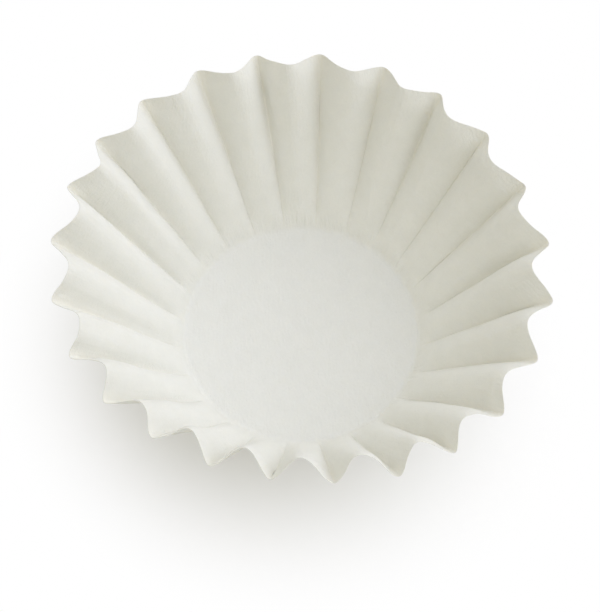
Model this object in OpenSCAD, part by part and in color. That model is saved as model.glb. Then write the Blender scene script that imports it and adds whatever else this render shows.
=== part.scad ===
// Basket filter for a drip machine: one disc of paper pressed into a flat base and a fluted wall.
// All sizes are in millimetres and all directions in degrees, counter-clockwise from +X.
// The base rests on the plane z = 0 with its centre at the origin.

/* [Paper] */
// Diameter of the flat disc that the filter is pressed from
disc_d = 240; // [210:1:270]
// Thickness of the paper
paper_t = 0.2; // [0.15:0.05:0.4]

/* [Base] */
// Diameter of the base, at the corner where the wall starts
base_d = 90; // [70:1:110]
// Radius of the bend between the base and the wall
bend_r = 2.5; // [1:0.5:6]

/* [Wall] */
// Slope of the wall above the base
wall_slope = 57; // [45:1:66]
// Number of flutes round the wall
flute_count = 24; // [18:1:32]
// How much rounder the inward ridges are than the outward grooves
ridge_bulge = 0.6; // [0:0.05:0.7]
// Stretch of paper above the base over which the flutes begin
flute_start = 10; // [5:1:20]

/* [Natural set of the rim] */
// How far the rim is pulled out of round into an oval
rim_oval = 3; // [0:0.5:4]
// Direction of the long way across that oval
oval_turn = -22; // [-90:1:90]
// How far the rim is pulled out of round towards three corners
rim_corners = 1; // [0:0.25:2]
// Direction of one of those corners
corner_turn = -37; // [-60:1:60]
// How far the rim is lifted at two opposite sides
rim_saddle = 1.4; // [0:0.1:3]
// Direction of one lifted side
saddle_turn = 64; // [-90:1:90]
// How far the rim is lifted at three places more
rim_ripple = 1.3; // [0:0.1:2.5]
// Direction of one of those places
ripple_turn = 28; // [-60:1:60]

/* [Natural set of the flutes] */
// How far the flutes lean to one side of the wall at the rim, as an angle round the axis
flute_lean = 1.9; // [0:0.1:3]
// Direction where they lean the most
lean_turn = 128; // [-180:1:180]
// How far the flutes bunch up at two opposite sides, as an angle round the axis
flute_bunching = 1.1; // [0:0.1:2]
// Direction between a bunched side and a spread one
bunching_turn = 106; // [0:1:180]
// How far neighbouring flutes differ in their place, as an angle round the axis
flute_variety = 0.3; // [0:0.05:0.5]
// Direction where those differences are in step
variety_turn = -13; // [-180:1:180]

/* [Hidden] */

// Points along one flute, and rings from the edge of the flat base to the rim
flute_steps = 10;
wall_rings = 10;
sides = flute_count * flute_steps;
flute_angle = 360 / flute_count;

// The paper runs flat to flat_r, round the bend for bend_l, and straight up the wall to disc_r
disc_r = disc_d / 2;
flat_r = base_d / 2 - bend_r * tan(wall_slope / 2);
bend_l = bend_r * wall_slope * PI / 180;
wall_l = disc_r - flat_r;

// Slope, mean radius and mean height of the paper at l, the distance from the middle of the disc
// measured along the paper. The share of the wall below that point is rise_at(l).
function slope_at(l) = wall_slope * min(1, (l - flat_r) / bend_l);
function past_bend(l) = max(0, l - flat_r - bend_l);
function radius_at(l) = flat_r + bend_r * sin(slope_at(l)) + past_bend(l) * cos(wall_slope);
function height_at(l) = paper_t / 2 + bend_r * (1 - cos(slope_at(l))) + past_bend(l) * sin(wall_slope);
function rise_at(l) = (l - flat_r) / wall_l;

// A slow wave round the wall, which crests in the direction turn, and its change for each degree
function wave(size, times, turn, a) = size * cos(times * (a - turn));
function wave_slope(size, times, turn, a) = -size * times * sin(times * (a - turn)) * PI / 180;

// What the waves do at the rim: move it in or out, lift it, and shift the flutes round it
function out_of_round(a) = wave(rim_oval, 2, oval_turn, a) + wave(rim_corners, 3, corner_turn, a);
function lift(a) = wave(rim_saddle, 2, saddle_turn, a) + wave(rim_ripple, 3, ripple_turn, a);
function shift(a) =
    wave(flute_lean, 1, lean_turn, a) + wave(flute_bunching, 2, bunching_turn, a)
    + wave(flute_variety, 5, variety_turn, a) + wave(flute_variety, 7, variety_turn, a);
function shift_slope(a) =
    wave_slope(flute_lean, 1, lean_turn, a) + wave_slope(flute_bunching, 2, bunching_turn, a)
    + wave_slope(flute_variety, 5, variety_turn, a) + wave_slope(flute_variety, 7, variety_turn, a);

// One flute is a trochoid wave. At the phase t = 0 it is on its inward ridge and at t = 180 in its
// outward groove. along(t) is the distance travelled, counted in flutes, and the depth across the
// wall follows -cos(t).
function along(t) = t / 360 + ridge_bulge * sin(t) / (2 * PI);
function wave_length(pitch, depth, step = 20) = vec_sum([
    for (t = [0 : step : 180 - step])
        2 * norm([pitch * (along(t + step) - along(t)), depth / 2 * (cos(t) - cos(t + step))])
]);
function vec_sum(v) = v * [for (x = v) 1];

// Depth of a flute. Paper bends but does not stretch, so the wave must be as long as the strip of
// disc that it was made from. The depth is found by halving the range between low and high.
function flute_depth(pitch, strip, low, high, turns = 12) =
    let (mid = (low + high) / 2)
    turns == 0 ? mid
    : wave_length(pitch, mid) < strip ? flute_depth(pitch, strip, mid, high, turns - 1)
    : flute_depth(pitch, strip, low, mid, turns - 1);

// Share of its depth that a flute has at l. Close to the base the press crushes the spare length of
// the paper instead, so the flutes begin softly: the share is x * x * (3 - 2 * x).
function begun_at(l) = let (x = min(1, (l - flat_r) / flute_start)) x * x * (3 - 2 * x);

// Point on the middle of the paper, at the distance l and the phase t. The flute there is as wide
// as the circle and the shift of its neighbours leave room for.
function paper_point(l, t) =
    let (
        rise = rise_at(l),
        even = flute_angle * along(t),
        a = even + rise * shift(even),
        middle_r = radius_at(l) + pow(rise, 2) * out_of_round(a),
        pitch = 2 * PI * middle_r / flute_count * (1 + rise * shift_slope(even)),
        strip = 2 * PI * l / flute_count,
        depth = begun_at(l) * flute_depth(pitch, strip, 0, strip / 2),
        out = -depth / 2 * cos(t),
        r = middle_r + out * sin(slope_at(l)),
        z = height_at(l) - out * cos(slope_at(l)) + pow(rise, 2) * lift(a)
    )
    [r * cos(a), r * sin(a), z];

// Distances of the rings from the middle of the disc, closer together where the flutes begin
ring_l = [for (i = [0 : wall_rings]) flat_r + wall_l * pow(i / wall_rings, 1.6)];
paper = [
    for (i = [0 : wall_rings])
        [for (j = [0 : sides - 1]) paper_point(ring_l[i], 360 * j / flute_steps)]
];

// Unit vector out of the upper face of the paper, from the neighbours of a point on its grid
function upward(i, j) =
    i == 0 ? [0, 0, 1]
    : let (
        round_wall = paper[i][(j + 1) % sides] - paper[i][(j + sides - 1) % sides],
        up_wall = paper[min(i + 1, wall_rings)][j] - paper[i - 1][j],
        n = cross(up_wall, round_wall)
    )
    n / norm(n);

// The two faces of the paper as one list of points: rings of the upper face, then of the lower
function skin(side) = [
    for (i = [0 : wall_rings], j = [0 : sides - 1]) paper[i][j] + side * paper_t / 2 * upward(i, j)
];

// Number of a point in that list
function at(face, i, j) = (face * (wall_rings + 1) + i) * sides + j % sides;

module filter() {
    upper = 0;
    lower = 1;
    color("ivory")
        polyhedron(
            points = concat(skin(1), skin(-1)),
            faces = concat(
                [[for (j = [0 : sides - 1]) at(upper, 0, sides - 1 - j)]],
                [[for (j = [0 : sides - 1]) at(lower, 0, j)]],
                [for (i = [0 : wall_rings - 1], j = [0 : sides - 1])
                    [at(upper, i, j), at(upper, i, j + 1), at(upper, i + 1, j + 1), at(upper, i + 1, j)]],
                [for (i = [0 : wall_rings - 1], j = [0 : sides - 1])
                    [at(lower, i, j), at(lower, i + 1, j), at(lower, i + 1, j + 1), at(lower, i, j + 1)]],
                [for (j = [0 : sides - 1])
                    [at(upper, wall_rings, j), at(upper, wall_rings, j + 1),
                     at(lower, wall_rings, j + 1), at(lower, wall_rings, j)]]
            )
        );
}

filter();
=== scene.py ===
"""Dresses one paper basket filter: a disc of paper pressed into a flat base and a fluted wall.

Lengths are in metres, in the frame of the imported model: the filter stands on z = 0 with its open
mouth towards +Z. Angles are in radians, counter-clockwise from +X where they go round the axis.
"""

import logging
import math
from dataclasses import dataclass
from enum import Enum
from typing import Any

import bpy
import numpy as np
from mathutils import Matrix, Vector


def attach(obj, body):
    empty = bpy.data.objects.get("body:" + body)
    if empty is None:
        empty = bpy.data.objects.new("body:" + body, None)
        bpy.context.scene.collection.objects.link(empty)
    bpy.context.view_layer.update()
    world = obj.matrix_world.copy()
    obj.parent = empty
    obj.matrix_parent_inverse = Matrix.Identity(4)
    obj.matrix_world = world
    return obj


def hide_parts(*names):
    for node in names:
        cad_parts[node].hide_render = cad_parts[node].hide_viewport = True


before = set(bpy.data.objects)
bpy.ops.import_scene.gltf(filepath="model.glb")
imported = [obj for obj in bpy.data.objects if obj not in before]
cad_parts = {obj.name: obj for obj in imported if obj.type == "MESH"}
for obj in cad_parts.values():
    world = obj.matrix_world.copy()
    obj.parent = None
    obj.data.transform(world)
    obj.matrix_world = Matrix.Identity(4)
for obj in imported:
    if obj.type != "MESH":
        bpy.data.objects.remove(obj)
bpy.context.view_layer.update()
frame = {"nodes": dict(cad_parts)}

LOG = logging.getLogger("basket_filter")
MM = 0.001
FULL_TURN = 2.0 * math.pi
WHITE = (1.0, 1.0, 1.0, 1.0)


class Value:
    """A number socket of a node tree, on which Python's operators add Math nodes."""

    def __init__(self, graph: "ShaderGraph", socket: bpy.types.NodeSocket) -> None:
        """Keeps the tree and the socket.

        Args:
            graph: The node tree that the socket belongs to.
            socket: An output that gives a number.
        """
        self.graph = graph
        self.socket = socket

    def maths(self, operation: str, first: "Value | float", second: "Value | float") -> "Value":
        """Adds one Math node.

        Args:
            operation: The node's operation.
            first: Its first term.
            second: Its second term.

        Returns:
            The result.
        """
        terms = {"Value": first, "Value_001": second}
        return self.graph.value("ShaderNodeMath", {"operation": operation}, terms, "Value")

    def __add__(self, other: "Value | float") -> "Value":
        """Gives self + other."""
        return self.maths("ADD", self, other)

    def __radd__(self, other: float) -> "Value":
        """Gives other + self."""
        return self.maths("ADD", other, self)

    def __sub__(self, other: "Value | float") -> "Value":
        """Gives self - other."""
        return self.maths("SUBTRACT", self, other)

    def __rsub__(self, other: float) -> "Value":
        """Gives other - self."""
        return self.maths("SUBTRACT", other, self)

    def __mul__(self, other: "Value | float") -> "Value":
        """Gives self * other."""
        return self.maths("MULTIPLY", self, other)

    def __rmul__(self, other: float) -> "Value":
        """Gives other * self."""
        return self.maths("MULTIPLY", other, self)

    def __gt__(self, other: "Value | float") -> "Value":
        """Gives 1 where self is more than other, and 0 elsewhere."""
        return self.maths("GREATER_THAN", self, other)

    def __lt__(self, other: "Value | float") -> "Value":
        """Gives 1 where self is less than other: the reflected form, which number > self calls."""
        return self.maths("LESS_THAN", self, other)


class ShaderGraph:
    """A node tree that is written with plain calls."""

    def __init__(self, tree: bpy.types.NodeTree) -> None:
        """Empties the tree.

        Args:
            tree: The node tree of a material or of the world.
        """
        tree.nodes.clear()
        self.tree = tree

    def node(
        self, kind: str, settings: dict[str, Any] | None = None, feeds: dict[str, Any] | None = None
    ) -> bpy.types.Node:
        """Adds a node, sets it and then feeds its sockets.

        Args:
            kind: The node's type.
            settings: Its settings, such as a Math node's operation.
            feeds: A number, colour, Value or socket for each input, by the input's identifier.

        Returns:
            The node.
        """
        made = self.tree.nodes.new(kind)
        for name, setting in (settings or {}).items():
            setattr(made, name, setting)
        inputs = {socket.identifier: socket for socket in made.inputs}
        for name, given in (feeds or {}).items():
            source = given.socket if isinstance(given, Value) else given
            if isinstance(source, bpy.types.NodeSocket):
                self.tree.links.new(source, inputs[name])
            else:
                inputs[name].default_value = source
        return made

    def socket(
        self,
        kind: str,
        settings: dict[str, Any] | None = None,
        feeds: dict[str, Any] | None = None,
        output: str = "",
    ) -> bpy.types.NodeSocket:
        """Adds a node and gives one of its outputs.

        Args:
            kind: The node's type.
            settings: Its settings.
            feeds: What its inputs get.
            output: Identifier of the output, or nothing for the first one.

        Returns:
            The output socket.
        """
        made = self.node(kind, settings, feeds)
        outputs = {socket.identifier: socket for socket in made.outputs}
        return outputs[output] if output else made.outputs[0]

    def value(
        self,
        kind: str,
        settings: dict[str, Any] | None = None,
        feeds: dict[str, Any] | None = None,
        output: str = "",
    ) -> Value:
        """Adds a node and gives one of its outputs as a number.

        Args:
            kind: The node's type.
            settings: Its settings.
            feeds: What its inputs get.
            output: Identifier of the output, or nothing for the first one.

        Returns:
            The number.
        """
        return Value(self, self.socket(kind, settings, feeds, output))

    def attribute(self, name: str, output: str) -> bpy.types.NodeSocket:
        """Reads an attribute that the mesh keeps for each corner.

        Args:
            name: Name of the attribute.
            output: "Fac" for a number or "Vector" for a vector.

        Returns:
            The output socket.
        """
        settings = {"attribute_type": "GEOMETRY", "attribute_name": name}
        return self.socket("ShaderNodeAttribute", settings, {}, output)

    def vector(self, operation: str, *terms: Any) -> bpy.types.NodeSocket:
        """Adds one Vector Math node.

        Args:
            operation: The node's operation.
            terms: Its one or two vectors, or for SCALE a vector and a number.

        Returns:
            The resulting vector.
        """
        names = ("Vector", "Scale") if operation == "SCALE" else ("Vector", "Vector_001")
        feeds = dict(zip(names, terms))
        return self.socket("ShaderNodeVectorMath", {"operation": operation}, feeds, "Vector")

    def colours(self, share: Any, first: Any, second: Any) -> bpy.types.NodeSocket:
        """Mixes two colours.

        Args:
            share: How much of the second colour, from 0 to 1.
            first: The first colour.
            second: The second colour.

        Returns:
            The mixed colour.
        """
        feeds = {"Factor_Float": share, "A_Color": first, "B_Color": second}
        return self.socket("ShaderNodeMix", {"data_type": "RGBA"}, feeds, "Result_Color")

    def noise(
        self, place: bpy.types.NodeSocket, size: float, layers: float, fineness: float = 0.55
    ) -> Value:
        """Soft noise from 0 to 1.

        Args:
            place: Where it is read.
            size: Size of its largest features, in the unit of place.
            layers: How many finer layers it has.
            fineness: How strong each finer layer is, as a share of the one before.

        Returns:
            The noise.
        """
        feeds = {"Vector": place, "Scale": 1.0 / size, "Detail": layers, "Roughness": fineness}
        return self.value("ShaderNodeTexNoise", {}, feeds, "Fac")


def shaded(
    colour: tuple[float, float, float], gains: tuple[float, float, float]
) -> tuple[float, ...]:
    """Multiplies a colour channel by channel, with an alpha of 1."""
    return (*(part * gain for part, gain in zip(colour, gains)), 1.0)


@dataclass(frozen=True)
class Streaks:
    """Fine streaks along the flutes: the angle across one, its length, and how high it stands."""

    turn: float
    length: float
    height: float
    layers: float = 2.0

    def on(self, graph: ShaderGraph, sheet: bpy.types.NodeSocket) -> Value:
        """Noise of (the direction on the disc / turn + the place on it / length).

        It changes fast round the disc and slowly along the radius.

        Args:
            graph: The material's nodes.
            sheet: Place on the flat sheet.

        Returns:
            The streaks' height, from 0 to 1.
        """
        heading = graph.vector("NORMALIZE", sheet)
        turned = graph.vector("SCALE", heading, 1.0 / self.turn)
        drawn = graph.vector("SCALE", sheet, 1.0 / self.length)
        return graph.noise(graph.vector("ADD", turned, drawn), 1.0, self.layers)


@dataclass(frozen=True)
class FilterPaper:
    """Soft matt filter paper: cloudy fibres, a fine crepe and what the press leaves in it.

    The press leaves fine marks along the flutes, crushed pleats at the edge of the base, and a fold
    in the bottom of each groove. The grooves also get a painted warm shade. A gain is a colour over
    the paper's white, channel by channel.
    """

    slot: str = "filter_paper"
    white: tuple[float, float, float] = (0.84, 0.836, 0.79)
    thin_gain: tuple[float, float, float] = (0.935, 0.94, 0.935)
    thick_gain: tuple[float, float, float] = (1.05, 1.05, 1.05)
    # Painted warm shade laid into the bottoms of the grooves, where shade falls
    groove_shade_gain: tuple[float, float, float] = (0.98, 0.955, 0.90)
    cloud_share: float = 0.5
    # How much of the painted groove shade is mixed in at the bottom of a groove
    groove_shade_share: float = 0.5

    roughness: float = 0.84
    fibre_roughness: float = 0.12
    crease_polish: float = 0.05
    specular: float = 0.25
    subsurface: float = 0.5
    subsurface_scale: float = 0.35 * MM
    subsurface_radius: tuple[float, float, float] = (1.0, 0.95, 0.85)

    cloud_size: float = 7.0 * MM
    cloud_layers: float = 3.0
    fibre_size: float = 0.9 * MM
    fibre_layers: float = 4.0
    fibre_height: float = 0.16 * MM
    crepe_size: float = 0.95 * MM
    crepe_stretch: float = 3.5
    crepe_layers: float = 2.0
    crepe_height: float = 0.24 * MM
    marks: Streaks = Streaks(turn=0.022, length=45.0 * MM, height=0.27 * MM)
    pleats: Streaks = Streaks(turn=0.032, length=25.0 * MM, height=0.55 * MM)
    fold_height: float = 0.20 * MM

    def build(self) -> bpy.types.Material:
        """Makes the material.

        Returns:
            The material.
        """
        material = bpy.data.materials.new(self.slot)
        material.use_nodes = True
        graph = ShaderGraph(material.node_tree)
        sheet = graph.attribute("sheet", "Vector")
        rise, crease, fold, crush = (
            Value(graph, graph.attribute(name, "Fac")) for name in ("rise", "crease", "fold", "crush")
        )
        clouds = graph.noise(sheet, self.cloud_size, self.cloud_layers)
        fibres = graph.noise(sheet, self.fibre_size, self.fibre_layers)
        heights = (
            (self.marks.on(graph, sheet) * rise, self.marks.height),
            (self.pleats.on(graph, sheet) * crush, self.pleats.height),
            (1.0 - fold, self.fold_height),
            (self.crepe(graph, sheet), self.crepe_height),
            (fibres, self.fibre_height),
        )
        feeds = {
            "Base Color": self.colour(graph, clouds, fibres, crease),
            "Roughness": self.roughness + self.fibre_roughness * fibres - self.crease_polish * crease,
            "Normal": self.relief(graph, heights),
            "Specular IOR Level": self.specular,
            "Subsurface Weight": self.subsurface,
            "Subsurface Radius": self.subsurface_radius,
            "Subsurface Scale": self.subsurface_scale,
        }
        paper = graph.socket("ShaderNodeBsdfPrincipled", {}, feeds, "BSDF")
        graph.node("ShaderNodeOutputMaterial", {}, {"Surface": paper})
        return material

    def crepe(self, graph: ShaderGraph, sheet: bpy.types.NodeSocket) -> Value:
        """Fine wrinkles across the way that the paper ran: noise drawn out along the sheet's Y.

        Args:
            graph: The material's nodes.
            sheet: Place on the flat sheet.

        Returns:
            The wrinkles' height, from 0 to 1.
        """
        drawn = graph.vector("MULTIPLY", sheet, (1.0, 1.0 / self.crepe_stretch, 1.0))
        return graph.noise(drawn, self.crepe_size, self.crepe_layers)

    def colour(
        self, graph: ShaderGraph, clouds: Value, fibres: Value, crease: Value
    ) -> bpy.types.NodeSocket:
        """White paper, slightly greyer where it is thin, with a painted warm shade in the grooves.

        Args:
            graph: The material's nodes.
            clouds: How thick the paper is from cloud to cloud, from 0 to 1.
            fibres: How thick it is from fibre to fibre, from 0 to 1.
            crease: 1 in the bottom of a groove at the rim.

        Returns:
            The colour socket.
        """
        thickness = clouds * self.cloud_share + fibres * (1.0 - self.cloud_share)
        thin = shaded(self.white, self.thin_gain)
        thick = shaded(self.white, self.thick_gain)
        # A darker, warmer copy of the white: painted shade for the grooves
        groove_shade = shaded(self.white, self.groove_shade_gain)
        paper = graph.colours(thickness, thin, thick)
        return graph.colours(crease * self.groove_shade_share, paper, groove_shade)

    def relief(
        self, graph: ShaderGraph, heights: tuple[tuple[Value, float], ...]
    ) -> bpy.types.NodeSocket:
        """Stacks several heights into one normal.

        Args:
            graph: The material's nodes.
            heights: Each height, from 0 to 1, with how far 1 stands up.

        Returns:
            The normal socket.
        """
        normal = None
        for height, distance in heights:
            feeds = {"Height": height, "Distance": distance, "Strength": 1.0}
            if normal is not None:
                feeds["Normal"] = normal
            normal = graph.socket("ShaderNodeBump", {}, feeds, "Normal")
        return normal


class Skin(Enum):
    """The two faces of the paper, each with its sign along the paper's upward normal."""

    INSIDE = 1.0
    OUTSIDE = -1.0


@dataclass(frozen=True)
class Wave:
    """A slow wave round the wall: size times the cosine of (times times the angle past its crest)."""

    size: float
    times: int
    crest: float

    def at(self, angle: np.ndarray) -> np.ndarray:
        """Gives the wave's value at each angle.

        Args:
            angle: Directions round the axis.

        Returns:
            The value in each direction, in the unit of size.
        """
        return self.size * np.cos(self.times * (angle - self.crest))

    def slope(self, angle: np.ndarray) -> np.ndarray:
        """Gives the wave's change for each radian.

        Args:
            angle: Directions round the axis.

        Returns:
            The derivative in each direction.
        """
        return -self.size * self.times * np.sin(self.times * (angle - self.crest))


@dataclass(frozen=True)
class FluteSection:
    """The section across one flute: a trochoid with a round inward ridge and a sharp outward groove.

    The bulge is how much rounder the ridge is than the groove. The depth over the pitch is looked
    up in a table of table_steps depths up to deepest, whose lengths are means of arc_steps pieces.
    """

    ridge_bulge: float
    deepest: float = 1.2
    table_steps: int = 240
    arc_steps: int = 180

    def along(self, phase: np.ndarray) -> np.ndarray:
        """Distance travelled, counted in flutes: phase / 2 pi + bulge * sin(phase) / 2 pi.

        Args:
            phase: 0 on the inward ridge and pi in the outward groove.

        Returns:
            The distance from the first ridge, where one flute is 1.
        """
        return (phase + self.ridge_bulge * np.sin(phase)) / FULL_TURN

    def depth(self, stretch: np.ndarray) -> np.ndarray:
        """Depth of a flute over its pitch, from how much longer than the pitch its strip of paper is.

        The length of the wave over its pitch is the mean, over one turn of the phase, of the root of
        (1 + bulge * cos(phase)) squared plus (pi * depth * sin(phase)) squared. That length is worked
        out for a row of depths, and the row is read backwards.

        Args:
            stretch: Length of the strip over the pitch.

        Returns:
            The depth over the pitch, 0 where the strip isn't longer than the pitch.
        """
        phase = np.arange(self.arc_steps) * FULL_TURN / self.arc_steps
        depths = np.linspace(0.0, self.deepest, self.table_steps)[:, None]
        forward = 1.0 + self.ridge_bulge * np.cos(phase)
        across = math.pi * depths * np.sin(phase)
        lengths = np.sqrt(forward**2 + across**2).mean(axis=1)
        return np.interp(stretch, lengths, depths[:, 0])


def summed(waves: np.ndarray, height: float) -> np.ndarray:
    """Height times the sum of many cosines, over the usual spread of such a sum.

    The spread, as a root mean square, is the root of half their number.

    Args:
        waves: One cosine for each row of the first axis.
        height: The spread that the sum gets.

    Returns:
        The sum at each place.
    """
    return height * waves.sum(axis=0) / math.sqrt(len(waves) / 2.0)


@dataclass(frozen=True)
class SoftWaviness:
    """Seeded waves of random direction and length over the flat sheet: paper that isn't quite even."""

    height: float
    shortest: float
    longest: float
    seed: int
    count: int = 28

    def at(self, sheet_x: np.ndarray, sheet_y: np.ndarray) -> np.ndarray:
        """Sums cosines of (2 pi / length * distance along the wave's heading + offset).

        Args:
            sheet_x: First coordinate on the flat disc.
            sheet_y: Second coordinate on the flat disc.

        Returns:
            The height of the waviness at each place.
        """
        chance = np.random.default_rng(self.seed)
        length = chance.uniform(self.shortest, self.longest, self.count)
        heading = chance.uniform(0.0, FULL_TURN, self.count)
        offset = chance.uniform(0.0, FULL_TURN, self.count)
        number_x = (FULL_TURN / length * np.cos(heading))[:, None, None]
        number_y = (FULL_TURN / length * np.sin(heading))[:, None, None]
        waves = np.cos(number_x * sheet_x + number_y * sheet_y + offset[:, None, None])
        return summed(waves, self.height)


@dataclass(frozen=True)
class FluteWaviness:
    """Seeded waves that run along the flutes, so that no two flanks are bent quite alike."""

    height: float
    fewest: int
    most: int
    seed: int
    drift: float = 2.2
    count: int = 14

    def at(self, angle: np.ndarray, rise: np.ndarray) -> np.ndarray:
        """Sums cosines of (whole number * angle + offset + drift * rise), which follow the flutes.

        Args:
            angle: Directions on the flat disc.
            rise: Share of the wall below each place.

        Returns:
            The height of the waviness at each place.
        """
        chance = np.random.default_rng(self.seed)
        times = chance.integers(self.fewest, self.most, self.count)[:, None, None]
        offset = chance.uniform(0.0, FULL_TURN, self.count)[:, None, None]
        drift = chance.uniform(-self.drift, self.drift, self.count)[:, None, None]
        return summed(np.cos(times * angle + offset + drift * rise), self.height)


@dataclass
class Surface:
    """The middle of the paper as a grid of rings by columns, with what its finish reads.

    For each point: its place on the flat sheet, the share of the wall below it, how deep in a
    groove it is, how near the fold in the groove's bottom, and how much spare paper is crushed.
    """

    points: np.ndarray
    sheet: np.ndarray
    rise: np.ndarray
    crease: np.ndarray
    fold: np.ndarray
    crush: np.ndarray


@dataclass(frozen=True)
class FlatLayout:
    """Where the paper lies on its UV map, a unit square: two discs and a band below them."""

    inside_middle: float = 0.25
    outside_middle: float = 0.75
    middle_height: float = 0.5
    disc_radius: float = 0.24
    band_start: float = 0.02
    band_length: float = 0.96
    band_foot: float = 0.02
    band_top: float = 0.03


def upward(points: np.ndarray) -> np.ndarray:
    """Unit normals of a closed ring grid: the step to the next ring crossed with the step round.

    Args:
        points: Places, as rings by columns by three.

    Returns:
        The normal at each place, out of the inner face of the paper.
    """
    up_wall = np.gradient(points, axis=0)
    round_wall = np.roll(points, -1, axis=1) - np.roll(points, 1, axis=1)
    normal = np.cross(up_wall, round_wall)
    return normal / np.linalg.norm(normal, axis=2, keepdims=True)


def eased(share: np.ndarray) -> np.ndarray:
    """Smooth step from 0 to 1: share squared * (3 - 2 * share), held at both ends.

    Args:
        share: How far along the step each place is.

    Returns:
        The eased share.
    """
    held = np.clip(share, 0.0, 1.0)
    return held**2 * (3.0 - 2.0 * held)


def facing(corners: list[np.ndarray], skin: Skin) -> np.ndarray:
    """Joins corner numbers into faces, in the given order inside and backwards outside.

    Args:
        corners: Numbers of the first corners, of the second ones and so on.
        skin: Which face of the paper they lie on.

    Returns:
        One row of corners for each face.
    """
    ordered = corners if skin is Skin.INSIDE else corners[::-1]
    return np.stack(ordered, axis=-1).reshape(-1, len(corners))


def mesh_of(name: str, points: np.ndarray, quads: np.ndarray, fans: np.ndarray) -> bpy.types.Mesh:
    """Puts corners, quads and then triangles into a smooth mesh.

    Args:
        name: Name of the mesh.
        points: One row of three coordinates for each corner.
        quads: One row of four corner numbers for each quad.
        fans: One row of three corner numbers for each triangle.

    Returns:
        The mesh.
    """
    mesh = bpy.data.meshes.new(name)
    mesh.vertices.add(len(points))
    mesh.vertices.foreach_set("co", points.astype(np.float32).ravel())
    corners = np.concatenate([quads.ravel(), fans.ravel()]).astype(np.int32)
    mesh.loops.add(len(corners))
    mesh.loops.foreach_set("vertex_index", corners)
    quad_starts = quads.shape[1] * np.arange(len(quads))
    fan_starts = quads.size + fans.shape[1] * np.arange(len(fans))
    starts = np.concatenate([quad_starts, fan_starts])
    mesh.polygons.add(len(starts))
    mesh.polygons.foreach_set("loop_start", starts.astype(np.int32))
    mesh.update(calc_edges=True)
    mesh.shade_smooth()
    return mesh


def sharpen(mesh: bpy.types.Mesh, rims: list[np.ndarray]) -> None:
    """Marks the edges along the cut rim as sharp, so that the paper's thin edge stays crisp.

    Args:
        mesh: The finished mesh.
        rims: Corner numbers of each of the two rims.
    """
    ends = np.empty(2 * len(mesh.edges), dtype=np.int32)
    mesh.edges.foreach_get("vertices", ends)
    ends = ends.reshape(-1, 2)
    sharp = np.zeros(len(ends), dtype=bool)
    for rim in rims:
        sharp |= np.isin(ends, rim).all(axis=1)
    mark = mesh.attributes.new("sharp_edge", "BOOLEAN", "EDGE")
    mark.data.foreach_set("value", sharp)


def store(mesh: bpy.types.Mesh, name: str, values: np.ndarray) -> None:
    """Keeps one number or vector for each corner, for the finish to read.

    Args:
        mesh: The mesh that holds it.
        name: Name of the attribute.
        values: One number, or one row of three, for each corner.
    """
    kind, field = ("FLOAT_VECTOR", "vector") if values.ndim == 2 else ("FLOAT", "value")
    layer = mesh.attributes.new(name, kind, "POINT")
    layer.data.foreach_set(field, values.astype(np.float32).ravel())


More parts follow.
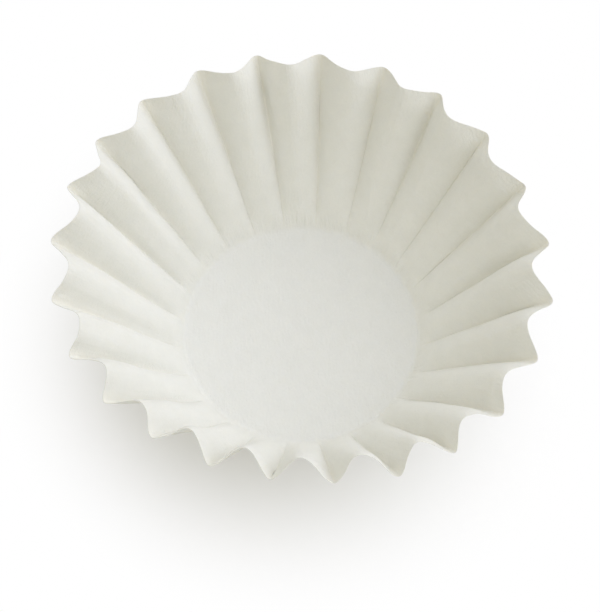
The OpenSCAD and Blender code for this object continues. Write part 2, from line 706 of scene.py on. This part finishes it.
@dataclass
class BasketFilter:
    """The whole filter: one sheet, flat in the base, round the bend and fluted up the wall.

    A reach is a distance from the middle of the disc, measured along the paper.
    """

    # The sheet, and the cup that it is pressed into
    disc_radius: float = 120.0 * MM
    thickness: float = 0.2 * MM
    base_radius: float = 45.0 * MM
    bend_radius: float = 2.5 * MM
    wall_slope: float = math.radians(57.0)
    flutes: int = 24
    flute_start: float = 10.0 * MM
    wall_section: FluteSection = FluteSection(ridge_bulge=0.6)
    rim_section: FluteSection = FluteSection(ridge_bulge=0.3)
    opening_length: float = 10.0 * MM

    # Its natural set: the rim is out of round and lifted in places, and the flutes lean and bunch
    out_of_round: tuple[Wave, ...] = (
        Wave(3.0 * MM, 2, math.radians(-22.0)),
        Wave(1.0 * MM, 3, math.radians(-37.0)),
    )
    lift: tuple[Wave, ...] = (
        Wave(1.4 * MM, 2, math.radians(64.0)),
        Wave(1.3 * MM, 3, math.radians(28.0)),
    )
    shift: tuple[Wave, ...] = (
        Wave(math.radians(1.9), 1, math.radians(128.0)),
        Wave(math.radians(1.1), 2, math.radians(106.0)),
        Wave(math.radians(0.3), 5, math.radians(-13.0)),
        Wave(math.radians(0.3), 7, math.radians(-13.0)),
    )

    # The paper's own small unevenness
    rim_curl: float = 0.8 * MM
    curl_length: float = 6.0 * MM
    wall_waviness: SoftWaviness = SoftWaviness(
        height=0.22 * MM, shortest=24.0 * MM, longest=60.0 * MM, seed=11
    )
    flank_waviness: FluteWaviness = FluteWaviness(height=0.13 * MM, fewest=31, most=83, seed=5)
    base_waviness: SoftWaviness = SoftWaviness(
        height=0.05 * MM, shortest=26.0 * MM, longest=60.0 * MM, seed=23
    )

    # How narrow the painted shade in a groove and the fold in its bottom are
    crease_power: int = 6
    fold_power: int = 30

    # The grid, whose rings crowd where the flutes begin
    flute_columns: int = 26
    base_rings: int = 12
    wall_rings: int = 60
    first_reach: float = 1.5 * MM
    ring_crowding: float = 1.45

    finish: FilterPaper = FilterPaper()
    layout: FlatLayout = FlatLayout()

    @property
    def flat_radius(self) -> float:
        """Radius of the flat part, where the bend begins."""
        return self.base_radius - self.bend_radius * math.tan(self.wall_slope / 2.0)

    @property
    def bend_length(self) -> float:
        """Length of paper in the bend."""
        return self.bend_radius * self.wall_slope

    @property
    def wall_length(self) -> float:
        """Length of paper from the start of the bend to the rim."""
        return self.disc_radius - self.flat_radius

    @property
    def rings(self) -> int:
        """Number of rings in the grid, from the innermost one to the rim."""
        return self.base_rings + self.wall_rings + 1

    @property
    def columns(self) -> int:
        """Number of columns in the grid, all the way round."""
        return self.flutes * self.flute_columns

    def reaches(self) -> np.ndarray:
        """Spreads the rings evenly over the base, and by a power of their share over the wall.

        Returns:
            The reach of each ring, as a column.
        """
        base = np.linspace(self.first_reach, self.flat_radius, self.base_rings, endpoint=False)
        share = np.linspace(0.0, 1.0, self.wall_rings + 1)
        wall = self.flat_radius + self.wall_length * share**self.ring_crowding
        return np.concatenate([base, wall])[:, None]

    def phases(self) -> np.ndarray:
        """Phase of each column, which passes through one turn on each flute."""
        return np.arange(self.columns) * FULL_TURN / self.flute_columns

    def rise(self, reach: np.ndarray) -> np.ndarray:
        """Share of the wall below each reach, from 0 on the base to 1 at the rim."""
        return np.clip((reach - self.flat_radius) / self.wall_length, 0.0, 1.0)

    def begun(self, reach: np.ndarray) -> np.ndarray:
        """Share of its full depth that a flute has at each reach."""
        return eased((reach - self.flat_radius) / self.flute_start)

    def near_rim(self, reach: np.ndarray, length: float) -> np.ndarray:
        """How far each reach is along the last length of paper before the rim, which is at 1."""
        return 1.0 - (self.disc_radius - reach) / length

    def pressed(self) -> np.ndarray:
        """Places on the middle of the pressed paper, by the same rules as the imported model.

        The mean wall is flat, then an arc, then straight. Its flutes are as wide as the circle and
        the shift of their neighbours leave room for, and as deep as the length of the paper asks.
        They begin softly over the first stretch of the wall, and over the last stretch their sharp
        grooves open into the rounder ones of the free rim.

        Returns:
            The places, as rings by columns by three.
        """
        reach = self.reaches()
        phase = self.phases()
        slope = self.wall_slope * np.clip((reach - self.flat_radius) / self.bend_length, 0.0, 1.0)
        past_bend = np.maximum(0.0, reach - self.flat_radius - self.bend_length)
        radius = (
            np.minimum(reach, self.flat_radius)
            + self.bend_radius * np.sin(slope)
            + past_bend * math.cos(self.wall_slope)
        )
        height = (
            self.thickness / 2.0
            + self.bend_radius * (1.0 - np.cos(slope))
            + past_bend * math.sin(self.wall_slope)
        )
        rise = self.rise(reach)
        opened = eased(self.near_rim(reach, self.opening_length))
        in_wall, at_rim = self.wall_section, self.rim_section
        along = (1.0 - opened) * in_wall.along(phase) + opened * at_rim.along(phase)
        even = along * FULL_TURN / self.flutes
        angle = even + rise * sum(wave.at(even) for wave in self.shift)
        middle = radius + rise**2 * sum(wave.at(angle) for wave in self.out_of_round)
        room = 1.0 + rise * sum(wave.slope(even) for wave in self.shift)
        pitch = FULL_TURN * middle / self.flutes * room
        stretch = FULL_TURN * reach / self.flutes / pitch
        depth = (1.0 - opened) * in_wall.depth(stretch) + opened * at_rim.depth(stretch)
        out = -pitch * depth * self.begun(reach) / 2.0 * np.cos(phase)
        distance = middle + out * np.sin(slope)
        lifted = rise**2 * sum(wave.at(angle) for wave in self.lift)
        z = height - out * np.cos(slope) + lifted
        return np.stack([distance * np.cos(angle), distance * np.sin(angle), z], axis=2)

    def flat_angles(self, points: np.ndarray) -> np.ndarray:
        """Directions on the flat disc: the length of paper passed round each ring, over its whole.

        Args:
            points: Places on the pressed paper, as rings by columns by three.

        Returns:
            The direction that each place had on the disc before it was pressed.
        """
        steps = np.linalg.norm(np.roll(points, -1, axis=1) - points, axis=2)
        passed = np.cumsum(steps, axis=1) - steps
        return FULL_TURN * passed / steps.sum(axis=1, keepdims=True)

    def surface(self) -> Surface:
        """Adds the paper's own small waviness to the pressed shape, and what the finish reads.

        Each place moves along its normal. The base only moves up, so that its lower face stays on
        or above z = 0. Close to the rim the ridges curl back, by the square of how near it is.
        Where the flutes have only begun, the paper's spare length is crushed instead.

        Returns:
            The middle of the paper.
        """
        points = self.pressed()
        reach = self.reaches()
        begun = self.begun(reach)
        rise = np.broadcast_to(self.rise(reach), points.shape[:2])
        angle = self.flat_angles(points)
        sheet_x = reach * np.cos(angle)
        sheet_y = reach * np.sin(angle)
        on_wall = self.wall_waviness.at(sheet_x, sheet_y) + self.flank_waviness.at(angle, rise)
        on_base = np.abs(self.base_waviness.at(sheet_x, sheet_y))
        fade = eased((self.flat_radius - reach) / self.flute_start)
        on_ridge = 0.5 + 0.5 * np.cos(self.phases())
        in_groove = 0.5 - 0.5 * np.cos(self.phases())
        curled = np.clip(self.near_rim(reach, self.curl_length), 0.0, 1.0) ** 2
        moved = begun * np.sqrt(rise) * on_wall + fade * on_base - self.rim_curl * curled * on_ridge
        spare = (1.0 - begun) * rise
        return Surface(
            points=points + upward(points) * moved[:, :, None],
            sheet=np.stack([sheet_x, sheet_y, np.zeros_like(sheet_x)], axis=2),
            rise=rise,
            # The crease mask places the painted groove shade and the slight polish in the grooves
            crease=in_groove**self.crease_power * np.sqrt(rise),
            fold=in_groove**self.fold_power * begun,
            crush=spare / spare.max(),
        )

    def corners(self, middle: Surface) -> np.ndarray:
        """Corners of the shell: half the paper's thickness to each side of its middle, then poles.

        Args:
            middle: The middle of the paper.

        Returns:
            The inner face's corners, the outer face's, and the mean of each one's innermost ring.
        """
        normal = upward(middle.points)
        faces = [middle.points + skin.value * self.thickness / 2.0 * normal for skin in Skin]
        poles = [face[0].mean(axis=0, keepdims=True) for face in faces]
        return np.concatenate([*(face.reshape(-1, 3) for face in faces), *poles])

    def grid(self, skin: Skin) -> np.ndarray:
        """Corner numbers of one face as rings by columns. The outer face's follow the inner's."""
        numbers = np.arange(self.rings * self.columns).reshape(self.rings, self.columns)
        return numbers if skin is Skin.INSIDE else numbers + numbers.size

    def quads(self, skin: Skin) -> np.ndarray:
        """Quads of one face of the paper, which point out of the paper.

        Args:
            skin: Which face of the paper.

        Returns:
            One row of four corner numbers for each quad.
        """
        grid = self.grid(skin)
        after = np.roll(grid, -1, axis=1)
        return facing([grid[:-1], grid[1:], after[1:], after[:-1]], skin)

    def fan(self, skin: Skin) -> np.ndarray:
        """Triangles that close the middle of one face, round its pole.

        Args:
            skin: Which face of the paper.

        Returns:
            One row of three corner numbers for each triangle.
        """
        ring = self.grid(skin)[0]
        pole = 2 * self.rings * self.columns + (0 if skin is Skin.INSIDE else 1)
        return facing([np.full(self.columns, pole), ring, np.roll(ring, -1)], skin)

    def cut_edge(self) -> np.ndarray:
        """Quads across the cut edge of the paper, from the outer rim to the inner one."""
        inner, outer = (self.grid(skin)[-1] for skin in Skin)
        return np.stack([outer, np.roll(outer, -1), np.roll(inner, -1), inner], axis=1)

    def build(self) -> bpy.types.Object:
        """Makes the closed shell: both faces of the paper, the cut edge at the rim and the middle.

        Returns:
            The piece, in its place.
        """
        middle = self.surface()
        quads = np.concatenate([*(self.quads(skin) for skin in Skin), self.cut_edge()])
        fans = np.concatenate([self.fan(skin) for skin in Skin])
        mesh = mesh_of("filter_paper_shell", self.corners(middle), quads, fans)
        sharpen(mesh, [self.grid(skin)[-1] for skin in Skin])
        self.keep(mesh, middle)
        self.unwrap(mesh, middle)
        piece = bpy.data.objects.new("filter_paper_shell", mesh)
        bpy.context.scene.collection.objects.link(piece)
        return piece

    def keep(self, mesh: bpy.types.Mesh, middle: Surface) -> None:
        """Keeps what the finish reads. Each fold sinks inside and stands proud outside.

        Args:
            mesh: The finished mesh.
            middle: The middle of the paper.
        """
        at_poles = np.zeros(len(Skin))
        sheet = middle.sheet.reshape(-1, 3)
        store(mesh, "sheet", np.concatenate([sheet, sheet, np.zeros((len(Skin), 3))]))
        for name in ("rise", "crease", "crush"):
            share = getattr(middle, name).ravel()
            store(mesh, name, np.concatenate([share, share, at_poles]))
        folds = [skin.value * middle.fold.ravel() for skin in Skin]
        store(mesh, "fold", np.concatenate([*folds, at_poles]))

    def unwrap(self, mesh: bpy.types.Mesh, middle: Surface) -> None:
        """Lays the two faces out as two discs side by side, and the cut edge as a band below them.

        The cut edge's quads come just before the triangles of the two fans, which are the last.

        Args:
            mesh: The finished mesh.
            middle: The middle of the paper.
        """
        layout = self.layout
        sheet = middle.sheet.reshape(-1, 3)[:, :2] * layout.disc_radius / self.disc_radius
        across = (layout.inside_middle, layout.outside_middle)
        middles = np.array([[x, layout.middle_height] for x in across])
        flat = np.concatenate([*(spot + sheet for spot in middles), middles])
        corner = np.empty(len(mesh.loops), dtype=np.int32)
        mesh.loops.foreach_get("vertex_index", corner)
        place = flat[corner]
        passed = np.arange(self.columns)[:, None] + np.array([0, 1, 1, 0])
        band_x = layout.band_start + layout.band_length * passed / self.columns
        heights = [layout.band_foot, layout.band_foot, layout.band_top, layout.band_top]
        band = np.stack([band_x, np.broadcast_to(heights, passed.shape)], axis=2).reshape(-1, 2)
        fan_corners = 3 * self.columns * len(Skin)
        end = len(corner) - fan_corners
        place[end - len(band) : end] = band
        layer = mesh.uv_layers.new(name="flat_paper")
        layer.uv.foreach_set("vector", place.astype(np.float32).ravel())

    def dress(self, piece: bpy.types.Object) -> None:
        """Gives the piece its finish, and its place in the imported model.

        Args:
            piece: The finished shell.
        """
        piece.data.materials.append(self.finish.build())
        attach(piece, "root")
        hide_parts("filter")


def direction(azimuth: float, elevation: float) -> Vector:
    """Unit vector out from the middle of the filter.

    Args:
        azimuth: Angle round the axis, counter-clockwise from +X.
        elevation: Angle above the floor.

    Returns:
        The vector.
    """
    flat = math.cos(elevation)
    return Vector((flat * math.cos(azimuth), flat * math.sin(azimuth), math.sin(elevation)))


def stand(name: str, data: bpy.types.ID, place: Vector, ahead: Vector) -> bpy.types.Object:
    """Puts a camera or a lamp into the scene.

    Args:
        name: Name of the object.
        data: The camera or the lamp.
        place: Where it stands.
        ahead: The way that it looks or shines.

    Returns:
        The object.
    """
    made = bpy.data.objects.new(name, data)
    made.location = place
    made.rotation_mode = "QUATERNION"
    made.rotation_quaternion = ahead.to_track_quat("-Z", "Y")
    bpy.context.scene.collection.objects.link(made)
    return made


@dataclass(frozen=True)
class PhotoCamera:
    """A long lens, high above the front, aimed at the middle of the filter.

    Its focal length is given in pixels of a picture that is picture_height pixels high.
    """

    distance: float = 1.5
    azimuth: float = math.radians(-90.76)
    elevation: float = math.radians(65.2)
    focal_pixels: float = 3993.0
    picture_height: float = 612.0
    sensor: float = 36.0
    aim_height: float = 25.3 * MM
    aim_right: float = -0.46 * MM
    near: float = 0.01
    far: float = 100.0

    def place(self) -> None:
        """Makes the camera and gives it to the scene."""
        lens = bpy.data.cameras.new("camera")
        lens.sensor_width = self.sensor
        lens.lens = self.focal_pixels * self.sensor / self.picture_height
        lens.clip_start = self.near
        lens.clip_end = self.far
        outward = direction(self.azimuth, self.elevation)
        right = direction(self.azimuth + FULL_TURN / 4.0, 0.0)
        aim = right * self.aim_right + Vector((0.0, 0.0, self.aim_height))
        camera = stand("camera", lens, aim + outward * self.distance, -outward)
        bpy.context.scene.camera = camera


@dataclass(frozen=True)
class KeyLight:
    """One very wide soft lamp, to the right, a little behind and high above."""

    azimuth: float = math.radians(20.0)
    elevation: float = math.radians(59.0)
    distance: float = 1.6
    width: float = 3.2
    level: float = 0.525
    colour: tuple[float, float, float] = (0.975, 1.0, 1.15)

    def place(self) -> None:
        """Makes the lamp. White paper facing it looks as bright as level.

        The power for that is level * pi squared * (distance squared + half the width squared).
        """
        lamp = bpy.data.lights.new("key_light", "AREA")
        lamp.shape = "DISK"
        lamp.size = self.width
        lamp.energy = self.level * math.pi**2 * (self.distance**2 + (self.width / 2.0) ** 2)
        lamp.color = self.colour
        outward = direction(self.azimuth, self.elevation)
        stand("key_light", lamp, outward * self.distance, -outward)


@dataclass(frozen=True)
class Studio:
    """A white floor that takes a soft shadow, a white surround, and plain soft light.

    Where the floor is seen, it is near_white of the way to plain white close by. It grows whiter
    from the distance white_from on, and past white_to it is plain white.
    """

    camera: PhotoCamera = PhotoCamera()
    key: KeyLight = KeyLight()
    sky_level: float = 0.485
    sky_colour: tuple[float, float, float, float] = (1.03, 1.0, 0.85, 1.0)
    floor_reach: float = 10.0
    near_white: float = 0.2
    white_from: float = 0.05
    white_to: float = 0.12

    def build(self) -> None:
        """Places the camera, the lamp, the surround and the floor."""
        bpy.context.scene.view_settings.view_transform = "Standard"
        self.camera.place()
        self.key.place()
        self.surround()
        self.floor()

    def surround(self) -> None:
        """Sets the world: plain white where it is seen or reflected, and the sky level as light."""
        world = bpy.data.worlds.new("surround")
        world.use_nodes = True
        bpy.context.scene.world = world
        graph = ShaderGraph(world.node_tree)
        sky = {"Color": self.sky_colour, "Strength": self.sky_level}
        white = {"Color": WHITE, "Strength": 1.0}
        feeds = {
            "Fac": self.seen(graph),
            "Shader": graph.socket("ShaderNodeBackground", {}, sky),
            "Shader_001": graph.socket("ShaderNodeBackground", {}, white),
        }
        mixed = graph.socket("ShaderNodeMixShader", {}, feeds)
        graph.node("ShaderNodeOutputWorld", {}, {"Surface": mixed})

    def seen(self, graph: ShaderGraph) -> Value:
        """Gives 1 for rays that show the background: from the camera, a reflection or glass.

        Args:
            graph: The nodes of the world or of a material.

        Returns:
            The mask.
        """
        path = graph.node("ShaderNodeLightPath")
        rays = ("Is Camera Ray", "Is Glossy Ray", "Is Transmission Ray")
        camera, glossy, through = (Value(graph, path.outputs[name]) for name in rays)
        return (camera + glossy + through) > 0.0

    def floor(self) -> None:
        """Makes the floor. It is white far out, and close by it keeps the shadow of the filter."""
        half = self.floor_reach
        corners = [(-half, -half, 0.0), (half, -half, 0.0), (half, half, 0.0), (-half, half, 0.0)]
        mesh = bpy.data.meshes.new("floor")
        mesh.from_pydata(corners, [], [(0, 1, 2, 3)])
        material = bpy.data.materials.new("floor_white")
        material.use_nodes = True
        self.floor_nodes(ShaderGraph(material.node_tree))
        mesh.materials.append(material)
        floor = bpy.data.objects.new("floor", mesh)
        bpy.context.scene.collection.objects.link(floor)

    def floor_nodes(self, graph: ShaderGraph) -> None:
        """Adds the floor's nodes: a matt white, mixed with plain white where the floor is seen.

        The share of plain white is near_white + (1 - near_white) * how far out the place is.

        Args:
            graph: The floor's nodes.
        """
        place = graph.socket("ShaderNodeTexCoord", {}, {}, "Object")
        away = graph.value("ShaderNodeVectorMath", {"operation": "LENGTH"}, {"Vector": place}, "Value")
        spread = {"Value": away, "From Min": self.white_from, "From Max": self.white_to}
        far = graph.value("ShaderNodeMapRange", {"interpolation_type": "SMOOTHSTEP"}, spread, "Result")
        share = (self.near_white + (1.0 - self.near_white) * far) * self.seen(graph)
        feeds = {
            "Fac": share,
            "Shader": graph.socket("ShaderNodeBsdfDiffuse", {}, {"Color": WHITE}),
            "Shader_001": graph.socket("ShaderNodeEmission", {}, {"Color": WHITE, "Strength": 1.0}),
        }
        mixed = graph.socket("ShaderNodeMixShader", {}, feeds)
        graph.node("ShaderNodeOutputMaterial", {}, {"Surface": mixed})


def report(piece: bpy.types.Object) -> None:
    """Logs how large a piece is and how many triangles it has.

    A face has two triangles fewer than corners.

    Args:
        piece: A finished piece.
    """
    triangles = len(piece.data.loops) - 2 * len(piece.data.polygons)
    size = " x ".join(f"{side / MM:.1f}" for side in piece.dimensions)
    LOG.info("%s: %d triangles, %s mm", piece.name, triangles, size)


def main() -> None:
    """Builds the studio and the filter in order."""
    logging.basicConfig(level=logging.INFO, format="%(name)s: %(message)s")
    LOG.info("nodes in the packed model: %s", ", ".join(frame["nodes"]))
    Studio().build()
    basket = BasketFilter()
    piece = basket.build()
    basket.dress(piece)
    report(piece)


if __name__ == "__main__":
    main()
